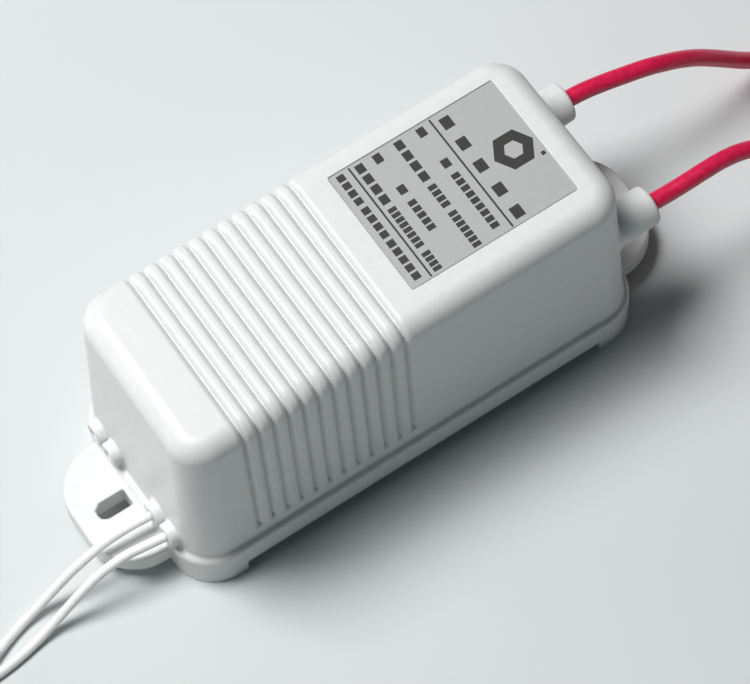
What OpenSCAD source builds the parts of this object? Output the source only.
// Electronic transformer for neon tube lamps: a ribbed moulded box on a skirt
// with two slotted ears, two high-voltage leads at one end and two supply
// leads at the other, with the circuit that such a box holds.
// Millimetres. The origin is the centre of the footprint, on the surface that
// the feet stand on. +X is the high-voltage end, -X the supply end, +Z up.

/* [Housing] */
// Length of the skirt, without the ears
skirt_len = 137; // [136:0.5:140]
// Width of the skirt
skirt_wid = 59.5; // [59:0.1:62]
// Height of the flat top above the mounting surface
total_h = 65.6; // [65:0.1:69]
// Height of the feet under the skirt
foot_h = 4; // [3.5:0.5:4]
// Height of the skirt's upper edge
skirt_top = 11.7; // [11:0.1:12]
// Thickness of the housing's wall
wall = 2.4; // [2:0.1:2.6]
// How far each long side leans in between the skirt and the top
side_lean = 1.1; // [0.2:0.1:1.2]
// How far each end leans in between the skirt and the top
end_lean = 2.8; // [1:0.1:3.2]
// Radius along the top edges
top_edge_r = 5.4; // [4.4:0.2:5.6]

/* [Grooves and label] */
// Number of grooves across the top
groove_count = 12; // [1:1:12]
// Distance from one groove to the next
groove_pitch = 4.2; // [3.6:0.1:4.2]
// Place of the groove nearest the supply end
groove_first_x = -47.8; // [-50:0.1:-46]
// Width of a groove
groove_w = 2.4; // [1.2:0.1:2.6]
// Depth of a groove in the top
groove_depth = 1.3; // [0.6:0.1:1.4]
// Length of the rating label
label_len = 48.6; // [40:0.2:50]
// Width of the rating label
label_wid = 37.4; // [30:0.1:38]
// Place of the label's middle along the length
label_x = 30.9; // [30:0.1:32]
// Place of the label's middle across the width
label_y = 1.2; // [0:0.1:1.4]

/* [Mounting ears] */
// Distance between the tips of the two ears
ear_span = 168.6; // [168:0.2:172]
// Width of an ear
ear_wid = 35.4; // [34:0.2:38]
// Height of an ear's upper face
ear_top = 10.2; // [10:0.1:10.6]
// Distance between the middles of the two slots
slot_span = 148.8; // [148:0.2:150]
// Width of a slot, for an M4 screw
slot_w = 4.8; // [4.2:0.1:5]
// Whole length of a slot
slot_len = 9; // [8:0.2:10]

/* [Leads] */
// Diameter of a high-voltage lead
hv_d = 4.6; // [4:0.1:4.8]
// Diameter of a supply lead
mains_d = 2.5; // [2.2:0.1:2.6]
// Whole length of each free lead, its bare end included
lead_len = 300; // [280:10:340]
// Length of the bare end of each lead
bare_len = 6; // [4:1:8]
// Distance of each high-voltage lead from the middle
hv_y = 18.4; // [17:0.1:19]
// Height of the high-voltage leads
hv_z = 37.1; // [36:0.1:39]
// Distances of the supply leads and of the two closed collars from the middle
collar_y = [10, 17];
// Height of the supply leads
mains_z = 15.6; // [15:0.1:16]

/* [Hidden] */
$fn = 48;
tiny = 0.01;
cut = 1;
skin_r = 32;

// Skirt, ears and body
skirt_r = 11.6;
skirt_lip = 1.5;
body_half_x = skirt_len / 2 - 1.95;
body_half_y = skirt_wid / 2 - 1.75;
body_r = 9;
ear_r = 13.5;
ear_edge = 0.8;
foot_x = 15;
foot_y = 13.4;
slot_end = slot_len / 2 - slot_w / 2;

// Base plate, let into the skirt from below
base_t = 2.4;
base_z = foot_h + 0.2;
recess_top = base_z + base_t;
recess_gap = 0.2;
skirt_wall = 2.9;
pillar_r = 3;
pillar_x = 40;
pillar_y = 23.3;
pillar_top = 30;
pilot_r = 1.45;
pilot_deep = 14;

// Bosses of the high-voltage leads and collars of the supply leads
boss_r = 5.9;
boss_taper = 0.5;
boss_face = 76.5;
boss_inner = 60;
boss_rim = 0.9;
hv_bore_r = hv_d / 2 + 0.15;
collar_r = 3.3;
collar_face = -69;
collar_inner = -62;
collar_rim = 0.4;
mains_bore_r = mains_d / 2 + 0.15;
blind_deep = 2;

// Label recess
recess_deep = 0.4;
label_t = 0.25;
label_gap = 0.15;

// Circuit board
board_len = 114;
board_wid = 40.8;
board_t = 1.6;
board_z = recess_top + 3;
board_top = board_z + board_t;
board_screw_at = [[-53.5, 16.5], [-42.5, -17], [53.5, 9], [53.5, -9]];
board_screw_r = 1.25;
leg_r = 0.4;

// Terminal block
block = [9, 13, 10];
block_at = [-55, -20, board_top];
block_screw_x = -50.5;
block_screw_r = 1.8;
conductor_r = 0.5;

// Supply side: capacitor, fuse, choke, rectifier, smoothing capacitor
x_cap = [9, 14, 13.5];
x_cap_at = [-51.5, 5];
fuse_at = [-35.5, -9, board_top + 5.2];
fuse_len = 20;
fuse_cap_len = 5;
fuse_r = 2.6;
clip = [6.4, 4, 6.8];
choke_at = [-34, 11];
choke_core = [4, 8, 5];
choke_wire = 0.8;
bulk_at = [-20, -11];
bulk_r = 8;
bulk_h = 29;
bridge = [10, 5, 10];
bridge_at = [-19, 3.5];
bridge_lift = 2.8;

// Inverter: heat sink, transistors, drive transformer, capacitors, resistors
sink = [32, 2, 28];
sink_at = [-10, 18.5];
transistor_x = [-18, -2];
tab = [10, 1.3, 15.5];
package = [10, 3.1, 9.5];
transistor_z = board_top + 9;
tab_hole_z = transistor_z + 13.5;
tab_screw_r = 1.4;
drive_at = [-2, -13];
drive_core_size = [2.5, 5, 4];
drive_wire = 0.6;
film_cap = [18, 6, 11.5];
film_cap_at = [[1, -2], [1, 6]];
resistor_x = [6.8, 10.2];
resistor_y = -12.5;
resistor_len = 7;
resistor_r = 1.1;
resistor_reach = 5;

// High-voltage transformer
core_at = [30, 0];
core = [32, 34, 12];
core_z = 21;
core_leg = 4;
core_bar = 4;
core_middle = 10;
bobbin_gap = 0.2;
bobbin_t = 1;
bobbin_len = 25.6;
cheek_w = 23.4;
cheek_top = 42.8;
section_count = 5;
section_cheek = 0.8;
section_from = -5;
section_w = 22.8;
section_h = 24;
winding_grow = 3.3;
winding_round = 3;
band_t = 0.4;
band_h = 8;

// High-voltage posts on the board
post_x = 49.5;
post_r = 1.2;
post_foot_r = 2;
post_top = hv_z + 2;
tail_x = 54;
hv_wire_r = 0.9;

// Routes of the free leads, from the face of a boss or collar to its coil
hv_route_1 = [
    [76.5, 18.4, 37.1], [82, 18.2, 36.7], [88, 17.6, 36], [94, 16.7, 35.3],
    [100, 15.8, 34.4], [105.5, 15.2, 32.4], [111, 15, 29.2], [116.3, 14.8, 25.2],
    [121.2, 14.5, 20.7], [126, 14.2, 16], [130.5, 14, 11.5], [135, 13.9, 7.6],
    [139.5, 13.9, 4.6], [143, 14, 3], [146, 14, 2.3]];
hv_route_2 = [
    [76.5, -18.4, 37.1], [82, -18.6, 37.1], [88, -18.7, 37.3], [94, -18.6, 37.3],
    [100, -18.5, 36.7], [106, -18.9, 35.2], [111.5, -19.8, 32.7], [116.4, -21.1, 29.5],
    [120.5, -22.6, 25.9], [124.5, -24.3, 21.6], [128.5, -26.3, 17.1],
    [132.5, -28.4, 13], [136.5, -30.5, 10], [141, -32.7, 7.8], [146, -34, 6.9]];
mains_route_1 = [
    [-69, -10, 15.6], [-74, -9.7, 15.6], [-79, -9.5, 15.2], [-84, -9.4, 14],
    [-88.5, -9.4, 12.1], [-92.5, -9.3, 9.8], [-96, -9.3, 7.4], [-99.5, -9.4, 5],
    [-103.5, -9.7, 2.8], [-108, -10.5, 1.6], [-113, -12, 1.4], [-118, -14, 1.7],
    [-122.5, -15.9, 2.5], [-127, -17.4, 3.5], [-131.4, -18.8, 3.75]];
mains_route_2 = [
    [-69, -17, 15.6], [-74, -16.4, 15.6], [-79, -15.7, 15.2], [-84, -15.3, 14],
    [-88.5, -15.2, 12.1], [-92.5, -15.3, 9.8], [-96, -15.4, 7.4], [-99.5, -15.6, 5],
    [-103.5, -16, 2.8], [-108, -16.8, 1.6], [-113, -17.8, 1.25], [-118, -18.5, 1.25],
    [-122.5, -18.8, 1.25], [-127, -18.9, 1.25], [-131.4, -19, 1.25]];

// Coils: middle, outermost radius of the lead's line, radius of the inward end
hv_coil_at = [160, -10];
hv_coil_r = 24;
hv_turn_in = 10;
mains_coil_at = [-141, -2];
mains_coil_r = 17;
mains_turn_in = 6;

// ---- Shared shapes ----

// Plate with rounded corners, standing on z
module slab(length, width, r, h, z = 0) {
    translate([0, 0, z])
        linear_extrude(height = h) {
            square([length - 2 * r, width], center = true);
            square([length, width - 2 * r], center = true);
            for (sx = [-1, 1], sy = [-1, 1])
                translate([sx * (length / 2 - r), sy * (width / 2 - r)])
                    circle(r = r);
        }
}

module box_at(at, size) {
    translate([at[0] - size[0] / 2, at[1] - size[1] / 2, at[2]])
        cube(size);
}

module rod_x(x0, x1, y, z, r) {
    translate([x0, y, z])
        rotate([0, 90, 0])
            cylinder(r = r, h = x1 - x0);
}

module rod_y(y0, y1, x, z, r) {
    translate([x, y0, z])
        rotate([-90, 0, 0])
            cylinder(r = r, h = y1 - y0);
}

module leg(x, y, z_top) {
    translate([x, y, board_top])
        cylinder(r = leg_r, h = z_top - board_top, $fn = 16);
}

// Screw that points down from z = 0, with a slotted pan head above it
module pan_screw(r, length, head_r, head_h) {
    difference() {
        union() {
            translate([0, 0, -length])
                cylinder(r = r, h = length + tiny);
            cylinder(r = head_r, h = head_h);
        }
        translate([-head_r, -head_r / 8, head_h / 2])
            cube([2 * head_r, head_r / 4, head_h]);
    }
}

// Ring on the board around the z axis, made of a square section
module ring(r0, r1, h) {
    difference() {
        cylinder(r = r1, h = h);
        translate([0, 0, -cut])
            cylinder(r = r0, h = h + 2 * cut);
    }
}

// Two windings around opposite sides of a ring core
module ring_windings(core_size, wire, z) {
    section = [core_size[1] - core_size[0] + 2 * wire, core_size[2] + 2 * wire];
    for (side = [0, 180])
        rotate([0, 0, side - 60])
            rotate_extrude(angle = 120)
                difference() {
                    translate([core_size[0] - wire, z])
                        square(section);
                    translate([core_size[0], z + wire])
                        square([core_size[1] - core_size[0], core_size[2]]);
                }
}

// Slab whose upper edge is bevelled by edge
module bevelled_slab(length, width, r, h, z, edge) {
    slab(length, width, r, h - edge, z);
    hull() {
        slab(length, width, r, tiny, z + h - edge - tiny, $fn = skin_r);
        slab(length - 2 * edge, width - 2 * edge, r - edge, tiny, z + h - tiny, $fn = skin_r);
    }
}

// ---- Housing ----

// One layer of the rounded top edge, drawn in by draw
module top_layer(half_x, half_y, r, draw, z) {
    slab(2 * (half_x - draw), 2 * (half_y - draw), r - draw, tiny, z, $fn = skin_r);
}

// The body between the skirt and the top, grown inwards by in
module body_form(in, z_low) {
    r = body_r - in;
    edge = top_edge_r - in;
    top = total_h - in;
    hull() {
        slab(2 * (body_half_x - in), 2 * (body_half_y - in), r, tiny, z_low, $fn = skin_r);
        for (a = [0:22.5:90])
            top_layer(body_half_x - in - end_lean, body_half_y - in - side_lean, r,
                edge * (1 - cos(a)), top - edge + edge * sin(a) - tiny);
    }
}

// What the grooves leave of a cross-section, seen along the length
module groove_floor() {
    low = body_half_y - groove_depth;
    half = low - side_lean;
    r = top_edge_r + 0.2;
    top = total_h - groove_depth;
    polygon([[-low, skirt_top], [low, skirt_top], [half, top - r], [-half, top - r]]);
    translate([r - half, 0])
        square([2 * (half - r), top]);
    for (s = [-1, 1])
        translate([s * (half - r), top - r])
            circle(r = r);
}

module grooves() {
    foot = skirt_top + 3;
    for (i = [0:groove_count - 1])
        translate([groove_first_x + i * groove_pitch - groove_w / 2, 0, 0])
            rotate([90, 0, 90])
                linear_extrude(height = groove_w)
                    difference() {
                        translate([-skirt_wid / 2, foot])
                            square([skirt_wid, total_h]);
                        groove_floor();
                    }
}

module feet() {
    intersection() {
        slab(skirt_len, skirt_wid, skirt_r, foot_h + tiny);
        for (sx = [-1, 1], sy = [-1, 1])
            box_at([sx * (skirt_len - foot_x) / 2, sy * (skirt_wid - foot_y) / 2, 0],
                [foot_x, foot_y, foot_h + tiny]);
    }
}

module lead_collars() {
    for (s = [-1, 1]) {
        translate([boss_inner, s * hv_y, hv_z])
            rotate([0, 90, 0])
                cylinder(r1 = boss_r, r2 = boss_r - boss_taper, h = boss_face - boss_rim - boss_inner);
        translate([boss_face - boss_rim - tiny, s * hv_y, hv_z])
            rotate([0, 90, 0])
                cylinder(r1 = boss_r - boss_taper, r2 = boss_r - boss_taper - boss_rim,
                    h = boss_rim + tiny);
        for (y = collar_y) {
            rod_x(collar_face + collar_rim, collar_inner, s * y, mains_z, collar_r);
            translate([collar_face, s * y, mains_z])
                rotate([0, 90, 0])
                    cylinder(r1 = collar_r - collar_rim, r2 = collar_r, h = collar_rim);
        }
    }
}

module lead_bores() {
    for (s = [-1, 1])
        rod_x(boss_inner - cut, boss_face + cut, s * hv_y, hv_z, hv_bore_r);
    for (y = collar_y) {
        rod_x(collar_face - cut, collar_inner + cut, -y, mains_z, mains_bore_r);
        rod_x(collar_face - cut, collar_face + blind_deep, y, mains_z, mains_bore_r);
    }
}

module ear_slots() {
    for (s = [-1, 1])
        translate([s * slot_span / 2, 0, foot_h - cut])
            linear_extrude(height = ear_top - foot_h + 2 * cut) {
                square([2 * slot_end, slot_w], center = true);
                for (e = [-1, 1])
                    translate([e * slot_end, 0])
                        circle(d = slot_w);
            }
}

module at_pillars() {
    for (sx = [-1, 1], sy = [-1, 1])
        translate([sx * pillar_x, sy * pillar_y, 0])
            children();
}

module housing() {
    recess_len = skirt_len - 2 * skirt_wall;
    recess_wid = skirt_wid - 2 * skirt_wall;
    color("whitesmoke")
        difference() {
            union() {
                difference() {
                    union() {
                        feet();
                        bevelled_slab(skirt_len, skirt_wid, skirt_r, skirt_top - foot_h,
                            foot_h, skirt_lip);
                        bevelled_slab(ear_span, ear_wid, ear_r, ear_top - foot_h, foot_h,
                            ear_edge);
                        body_form(0, skirt_top - tiny);
                    }
                    slab(recess_len, recess_wid, skirt_r - skirt_wall, recess_top + cut, -cut);
                    body_form(wall, recess_top - tiny);
                    grooves();
                    box_at([label_x, label_y, total_h - recess_deep],
                        [label_len, label_wid, recess_deep + cut]);
                }
                at_pillars()
                    translate([0, 0, recess_top])
                        cylinder(r = pillar_r, h = pillar_top - recess_top);
                lead_collars();
            }
            at_pillars()
                translate([0, 0, recess_top - cut])
                    cylinder(r = pilot_r, h = pilot_deep + cut);
            lead_bores();
            ear_slots();
        }
}

module rating_label() {
    color("silver")
        box_at([label_x, label_y, total_h - recess_deep],
            [label_len - 2 * label_gap, label_wid - 2 * label_gap, label_t]);
}

// ---- Base plate ----

module base_plate() {
    color("dimgray")
        difference() {
            union() {
                slab(skirt_len - 2 * (skirt_wall + recess_gap),
                    skirt_wid - 2 * (skirt_wall + recess_gap),
                    skirt_r - skirt_wall, base_t, base_z);
                for (p = board_screw_at)
                    translate([p[0], p[1], base_z + base_t - tiny])
                        cylinder(r = pillar_r, h = board_z - recess_top + tiny);
            }
            at_pillars() {
                translate([0, 0, base_z - cut])
                    cylinder(r = pilot_r + 0.25, h = base_t + 2 * cut);
                translate([0, 0, base_z - tiny])
                    cylinder(r1 = 3.4, r2 = pilot_r + 0.25, h = base_t - 0.6);
            }
            for (p = board_screw_at)
                translate([p[0], p[1], base_z + 1])
                    cylinder(r = board_screw_r + 0.05, h = board_z);
        }
}

// Countersunk screws from below into the housing's pillars
module base_screws() {
    head_h = 1.7;
    head_r = 3.2;
    shank_r = 1.4;
    color("gray")
        at_pillars()
            translate([0, 0, base_z + 0.1])
                difference() {
                    union() {
                        cylinder(r1 = head_r, r2 = shank_r, h = head_h);
                        cylinder(r = shank_r, h = pilot_deep);
                    }
                    for (a = [0, 90])
                        rotate([0, 0, a])
                            translate([-head_r / 2, -0.3, -tiny])
                                cube([head_r, 0.6, 0.8]);
                }
}

// ---- Circuit board and supply side ----

module circuit_board() {
    color("seagreen")
        difference() {
            slab(board_len, board_wid, 2, board_t, board_z);
            for (p = board_screw_at)
                translate([p[0], p[1], board_z - cut])
                    cylinder(r = board_screw_r + 0.25, h = board_t + 2 * cut);
        }
}

module board_screws() {
    color("gray")
        for (p = board_screw_at)
            translate([p[0], p[1], board_top])
                pan_screw(board_screw_r, board_t + 2.8, 2.4, 1.6);
}

module terminal_block() {
    color("lightgray")
        difference() {
            translate(block_at)
                cube(block);
            for (y = collar_y) {
                rod_x(block_at[0] - cut, block_at[0] + block[0] - cut, -y, mains_z,
                    mains_bore_r + 0.1);
                translate([block_screw_x, -y, mains_z])
                    cylinder(r = block_screw_r + 0.1, h = block[2]);
            }
        }
}

module terminal_screws() {
    color("silver")
        for (y = collar_y)
            translate([block_screw_x, -y, mains_z + mains_bore_r + 3.3])
                pan_screw(1.2, 3.2, block_screw_r, 1);
}

// The supply leads inside the housing, up to the terminal block
module mains_lead_tails() {
    color("white")
        for (y = collar_y)
            rod_x(collar_face, block_at[0] + 1, -y, mains_z, mains_d / 2);
}

module mains_conductors() {
    color("silver")
        for (y = collar_y)
            rod_x(block_at[0] + 1, block_at[0] + block[0] - 2, -y, mains_z, conductor_r);
}

module x_capacitor() {
    color("gold") {
        box_at([x_cap_at[0], x_cap_at[1], board_top + leg_r], x_cap);
        for (s = [-1, 1])
            leg(x_cap_at[0], x_cap_at[1] + s * 5, board_top + leg_r + tiny);
    }
}

module fuse_glass() {
    half = fuse_len / 2 - fuse_cap_len;
    color("lightcyan")
        rod_y(fuse_at[1] - half, fuse_at[1] + half, fuse_at[0], fuse_at[2], fuse_r - 0.15);
}

module fuse_caps() {
    color("silver")
        for (s = [-1, 1])
            translate([0, fuse_at[1] + s * (fuse_len - fuse_cap_len) / 2, 0])
                rod_y(-fuse_cap_len / 2, fuse_cap_len / 2, fuse_at[0], fuse_at[2], fuse_r);
}

module fuse_clips() {
    color("goldenrod")
        for (s = [-1, 1])
            translate([0, fuse_at[1] + s * (fuse_len - fuse_cap_len) / 2, 0])
                difference() {
                    box_at([fuse_at[0], 0, board_top], clip);
                    rod_y(-clip[1], clip[1], fuse_at[0], fuse_at[2], fuse_r);
                    box_at([fuse_at[0], 0, fuse_at[2]], [3.6, 2 * clip[1], clip[2]]);
                }
}

module choke_core() {
    color("darkolivegreen")
        translate([choke_at[0], choke_at[1], board_top + choke_wire])
            ring(choke_core[0], choke_core[1], choke_core[2]);
}

module choke_windings() {
    color("peru")
        translate([choke_at[0], choke_at[1], 0])
            ring_windings(choke_core, choke_wire, board_top);
}

module bridge_rectifier() {
    color("black") {
        box_at([bridge_at[0], bridge_at[1], board_top + bridge_lift], bridge);
        for (i = [0:3])
            leg(bridge_at[0] - 3.9 + 2.6 * i, bridge_at[1], board_top + bridge_lift + tiny);
    }
}

module bulk_capacitor() {
    color("navy")
        translate([bulk_at[0], bulk_at[1], board_top])
            difference() {
                cylinder(r = bulk_r, h = bulk_h);
                translate([0, 0, 2.5])
                    ring(bulk_r - 0.6, bulk_r + cut, 1.2);
                for (a = [0, 90])
                    rotate([0, 0, a])
                        translate([-bulk_r * 0.6, -0.2, bulk_h - 0.3])
                            cube([bulk_r * 1.2, 0.4, cut]);
            }
}

// ---- Inverter ----

module heat_sink() {
    color("silver")
        difference() {
            box_at([sink_at[0], sink_at[1], board_top], sink);
            for (x = transistor_x)
                rod_y(0, skirt_wid, x, tab_hole_z, tab_screw_r + 0.1);
        }
}

module power_transistor(x) {
    face = sink_at[1] - sink[1] / 2;
    color("silver")
        difference() {
            translate([x - tab[0] / 2, face - tab[1], transistor_z])
                cube([tab[0], tab[1], tab[2] + 1]);
            rod_y(0, skirt_wid, x, tab_hole_z, tab_screw_r + 0.2);
        }
    color("black") {
        translate([x - package[0] / 2, face - tab[1] - package[1], transistor_z])
            cube([package[0], package[1] + tiny, package[2]]);
        for (i = [-1:1])
            leg(x + 2.5 * i, face - tab[1] - package[1] / 2, transistor_z + tiny);
    }
}

module power_transistor_1() {
    power_transistor(transistor_x[0]);
}

module power_transistor_2() {
    power_transistor(transistor_x[1]);
}

module transistor_screws() {
    face = sink_at[1] - sink[1] / 2 - tab[1];
    color("gray")
        for (x = transistor_x)
            translate([x, face, tab_hole_z])
                rotate([90, 0, 0])
                    pan_screw(tab_screw_r, tab[1] + sink[1] + 2.4, 2.5, 1.8);
}

module transistor_nuts() {
    back = sink_at[1] + sink[1] / 2;
    color("gray")
        for (x = transistor_x)
            difference() {
                translate([x, back, tab_hole_z])
                    rotate([-90, 0, 0])
                        cylinder(r = 2.9, h = 2, $fn = 6);
                rod_y(back - cut, back + 3, x, tab_hole_z, tab_screw_r + 0.05);
            }
}

module drive_core() {
    color("darkslategray")
        translate([drive_at[0], drive_at[1], board_top + drive_wire])
            ring(drive_core_size[0], drive_core_size[1], drive_core_size[2]);
}

module drive_windings() {
    color("orangered")
        translate([drive_at[0], drive_at[1], 0])
            ring_windings(drive_core_size, drive_wire, board_top);
}

module film_capacitors() {
    color("firebrick")
        for (p = film_cap_at) {
            box_at([p[0], p[1], board_top + leg_r], film_cap);
            for (s = [-1, 1])
                leg(p[0] + s * 7.5, p[1], board_top + leg_r + tiny);
        }
}

module resistors() {
    z = board_top + resistor_r + 0.3;
    color("tan")
        for (x = resistor_x) {
            rod_y(resistor_y - resistor_len / 2, resistor_y + resistor_len / 2, x, z,
                resistor_r);
            rod_y(resistor_y - resistor_reach, resistor_y + resistor_reach, x, z,
                leg_r);
            for (s = [-1, 1])
                leg(x, resistor_y + s * resistor_reach, z + leg_r);
        }
}

// ---- High-voltage transformer ----

// The half of the E core on the side s of the joint
module core_half(s) {
    window = (core[0] - core_middle) / 2 - core_leg;
    bar_y = core[1] / 2 - core_bar;
    color("dimgray")
        translate([core_at[0], core_at[1], core_z])
            linear_extrude(height = core[2])
                difference() {
                    translate([-core[0] / 2, s > 0 ? 0 : -core[1] / 2])
                        square([core[0], core[1] / 2]);
                    for (sx = [-1, 1])
                        translate([sx * (core_middle + window) / 2, 0])
                            square([window, 2 * bar_y], center = true);
                }
}

module transformer_core_front() {
    core_half(-1);
}

module transformer_core_rear() {
    core_half(1);
}

// Rectangle around the middle leg, seen along Y, grown by g on each side
module around_leg(g, r = 0) {
    w = core_middle + 2 * g;
    h = core[2] + 2 * g;
    if (r == 0)
        square([w, h], center = true);
    else {
        square([w - 2 * r, h], center = true);
        square([w, h - 2 * r], center = true);
        for (sx = [-1, 1], sy = [-1, 1])
            translate([sx * (w / 2 - r), sy * (h / 2 - r)])
                circle(r = r);
    }
}

// Puts a shape drawn around the leg from y0 to y1
module along_leg(y0, y1) {
    translate([core_at[0], y1, core_z + core[2] / 2])
        rotate([90, 0, 0])
            linear_extrude(height = y1 - y0)
                children();
}

tube_grow = bobbin_gap + bobbin_t;
cheek_in = bobbin_len / 2 - bobbin_t;
section_pitch = (cheek_in - section_from) / section_count;

module bobbin() {
    color("ivory")
        difference() {
            union() {
                along_leg(-bobbin_len / 2, bobbin_len / 2)
                    around_leg(tube_grow);
                for (s = [-1, 1])
                    box_at([core_at[0], s * (cheek_in + bobbin_t / 2), board_top],
                        [cheek_w, bobbin_t, cheek_top - board_top]);
                for (i = [0:section_count - 1])
                    along_leg(section_from + i * section_pitch,
                        section_from + i * section_pitch + section_cheek)
                        square([section_w, section_h], center = true);
            }
            along_leg(-bobbin_len, bobbin_len)
                around_leg(bobbin_gap);
        }
}

module primary_winding() {
    color("chocolate")
        along_leg(-cheek_in, section_from)
            difference() {
                around_leg(tube_grow + winding_grow, winding_round);
                around_leg(tube_grow);
            }
}

module hv_winding() {
    color("saddlebrown")
        for (i = [0:section_count - 1])
            along_leg(section_from + i * section_pitch + section_cheek,
                section_from + (i + 1) * section_pitch)
                difference() {
                    around_leg(tube_grow + winding_grow, winding_round);
                    around_leg(tube_grow);
                }
}

module core_band() {
    color("lightsteelblue")
        difference() {
            box_at([core_at[0], core_at[1], core_z + (core[2] - band_h) / 2],
                [core[0] + 2 * band_t, core[1] + 2 * band_t, band_h]);
            box_at([core_at[0], core_at[1], core_z - cut],
                [core[0], core[1], core[2] + 2 * cut]);
        }
}

module hv_terminal_posts() {
    color("silver")
        for (s = [-1, 1])
            translate([post_x, s * hv_y, board_top])
                difference() {
                    union() {
                        cylinder(r = post_r, h = post_top - board_top);
                        cylinder(r = post_foot_r, h = 1);
                    }
                    translate([0, -2 * post_r, hv_z - board_top])
                        cube([2 * post_r, 4 * post_r, post_top - hv_z - 1]);
                }
}

// The high-voltage leads inside their bosses
module hv_lead_tails() {
    color("crimson")
        for (s = [-1, 1])
            rod_x(tail_x, boss_face, s * hv_y, hv_z, hv_d / 2);
}

module hv_conductors() {
    color("silver")
        for (s = [-1, 1])
            rod_x(post_x + post_r, tail_x, s * hv_y, hv_z, hv_wire_r);
}

// ---- Free leads ----

function unit(v) = v / norm(v);

// Direction of a route at its point i
function heading(p, i) =
    i == 0 ? unit(p[1] - p[0])
    : i == len(p) - 1 ? unit(p[i] - p[i - 1])
    : unit(unit(p[i + 1] - p[i]) + unit(p[i] - p[i - 1]));

function route_len(p, i = 1) =
    i >= len(p) ? 0 : norm(p[i] - p[i - 1]) + route_len(p, i + 1);

// Points of one ring of the tube, across the route at its point i
function ring_at(p, i, r, sides) =
    let (t = heading(p, i), s = unit(cross(t, [0, 0, 1])), u = cross(s, t))
    [for (k = [0:sides - 1])
        p[i] + r * (cos(360 * k / sides) * s + sin(360 * k / sides) * u)];

module lead_tube(route, d, sides) {
    last = (len(route) - 1) * sides;
    points = [for (i = [0:len(route) - 1]) each ring_at(route, i, d / 2, sides)];
    skin = [for (i = [0:len(route) - 2], k = [0:sides - 1])
        let (a = i * sides + k, b = i * sides + (k + 1) % sides)
        each [[a, b, b + sides], [a, b + sides, a + sides]]];
    ends = [[for (k = [sides - 1:-1:0]) k], [for (k = [0:sides - 1]) last + k]];
    polyhedron(points = points, faces = concat(skin, ends));
}

// Turns of the flat coil that takes up the rest of a lead
function coil_turns(route, at, coil_r, turn_in, d) =
    let (rest = lead_len - bare_len - route_len(route)
            - abs(at[0] - route[len(route) - 1][0]) - turn_in * PI / 2)
    (coil_r - sqrt(coil_r * coil_r - d * rest / PI)) / d;

// Place and direction of a lead's end: the coil starts at the angle from and
// turns by way, 1 or -1; the last quarter turn of radius turn_in runs inwards
module at_coil_end(route, at, coil_r, turn_in, d, from, way) {
    turns = coil_turns(route, at, coil_r, turn_in, d);
    z = route[len(route) - 1][2];
    translate([at[0], at[1], z])
        rotate([0, 0, from + way * 360 * turns])
            translate([coil_r - d * turns - turn_in, way * turn_in, 0])
                rotate([0, -90, 0])
                    children();
}

// Outer shape of a flat coil
module coil_ring(route, at, coil_r, turn_in, d) {
    turns = coil_turns(route, at, coil_r, turn_in, d);
    inner = coil_r - d * turns - d / 2;
    outer = coil_r + d / 2;
    z = route[len(route) - 1][2];
    bevel = d / 5;
    translate([at[0], at[1], z - d / 2])
        rotate_extrude($fn = 64)
            polygon([[inner + bevel, 0], [outer - bevel, 0], [outer, bevel],
                [outer, d - bevel], [outer - bevel, d], [inner + bevel, d],
                [inner, d - bevel], [inner, bevel]]);
}

// The end of a lead inside its coil: a short piece of lead and the bare wire
module lead_end(route, at, coil_r, turn_in, d, from, way, wire_r) {
    turns = coil_turns(route, at, coil_r, turn_in, d);
    inner = coil_r - d * turns - d / 2;
    reach = sqrt(inner * inner - pow(turn_in + d / 2, 2));
    stub = reach - (coil_r - d * turns - turn_in) - 0.1;
    at_coil_end(route, at, coil_r, turn_in, d, from, way) {
        cylinder(r = wire_r, h = bare_len);
        translate([0, 0, -stub])
            cylinder(d = d, h = stub);
    }
}

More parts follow.
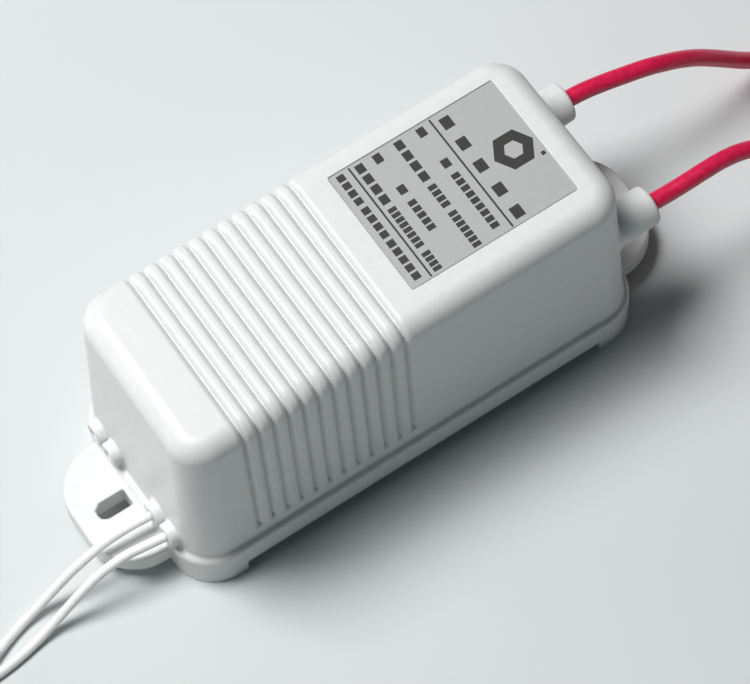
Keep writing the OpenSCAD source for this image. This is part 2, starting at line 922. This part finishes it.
module hv_lead_1() {
    color("crimson")
        lead_tube(hv_route_1, hv_d, 10);
}

module hv_lead_2() {
    color("crimson")
        lead_tube(hv_route_2, hv_d, 10);
}

module hv_coil_1() {
    color("crimson")
        coil_ring(hv_route_1, hv_coil_at, hv_coil_r, hv_turn_in, hv_d);
}

module hv_coil_2() {
    color("crimson")
        coil_ring(hv_route_2, hv_coil_at, hv_coil_r, hv_turn_in, hv_d);
}

module mains_lead_1() {
    color("white")
        lead_tube(mains_route_1, mains_d, 8);
}

module mains_lead_2() {
    color("white")
        lead_tube(mains_route_2, mains_d, 8);
}

module mains_coil_1() {
    color("white")
        coil_ring(mains_route_1, mains_coil_at, mains_coil_r, mains_turn_in, mains_d);
}

module mains_coil_2() {
    color("white")
        coil_ring(mains_route_2, mains_coil_at, mains_coil_r, mains_turn_in, mains_d);
}

module hv_lead_ends() {
    color("silver") {
        lead_end(hv_route_1, hv_coil_at, hv_coil_r, hv_turn_in, hv_d, 90, -1, hv_wire_r);
        lead_end(hv_route_2, hv_coil_at, hv_coil_r, hv_turn_in, hv_d, -90, 1, hv_wire_r);
    }
}

module mains_lead_ends() {
    color("silver")
        for (route = [mains_route_1, mains_route_2])
            lead_end(route, mains_coil_at, mains_coil_r, mains_turn_in, mains_d, -90, -1,
                conductor_r);
}

housing();
base_plate();
base_screws();
rating_label();
circuit_board();
board_screws();
terminal_block();
terminal_screws();
mains_lead_tails();
mains_conductors();
x_capacitor();
fuse_glass();
fuse_caps();
fuse_clips();
choke_core();
choke_windings();
bridge_rectifier();
bulk_capacitor();
heat_sink();
power_transistor_1();
power_transistor_2();
transistor_screws();
transistor_nuts();
drive_core();
drive_windings();
film_capacitors();
resistors();
transformer_core_front();
transformer_core_rear();
bobbin();
primary_winding();
hv_winding();
core_band();
hv_terminal_posts();
hv_lead_tails();
hv_conductors();
hv_lead_1();
hv_lead_2();
hv_coil_1();
hv_coil_2();
mains_lead_1();
mains_lead_2();
mains_coil_1();
mains_coil_2();
hv_lead_ends();
mains_lead_ends();
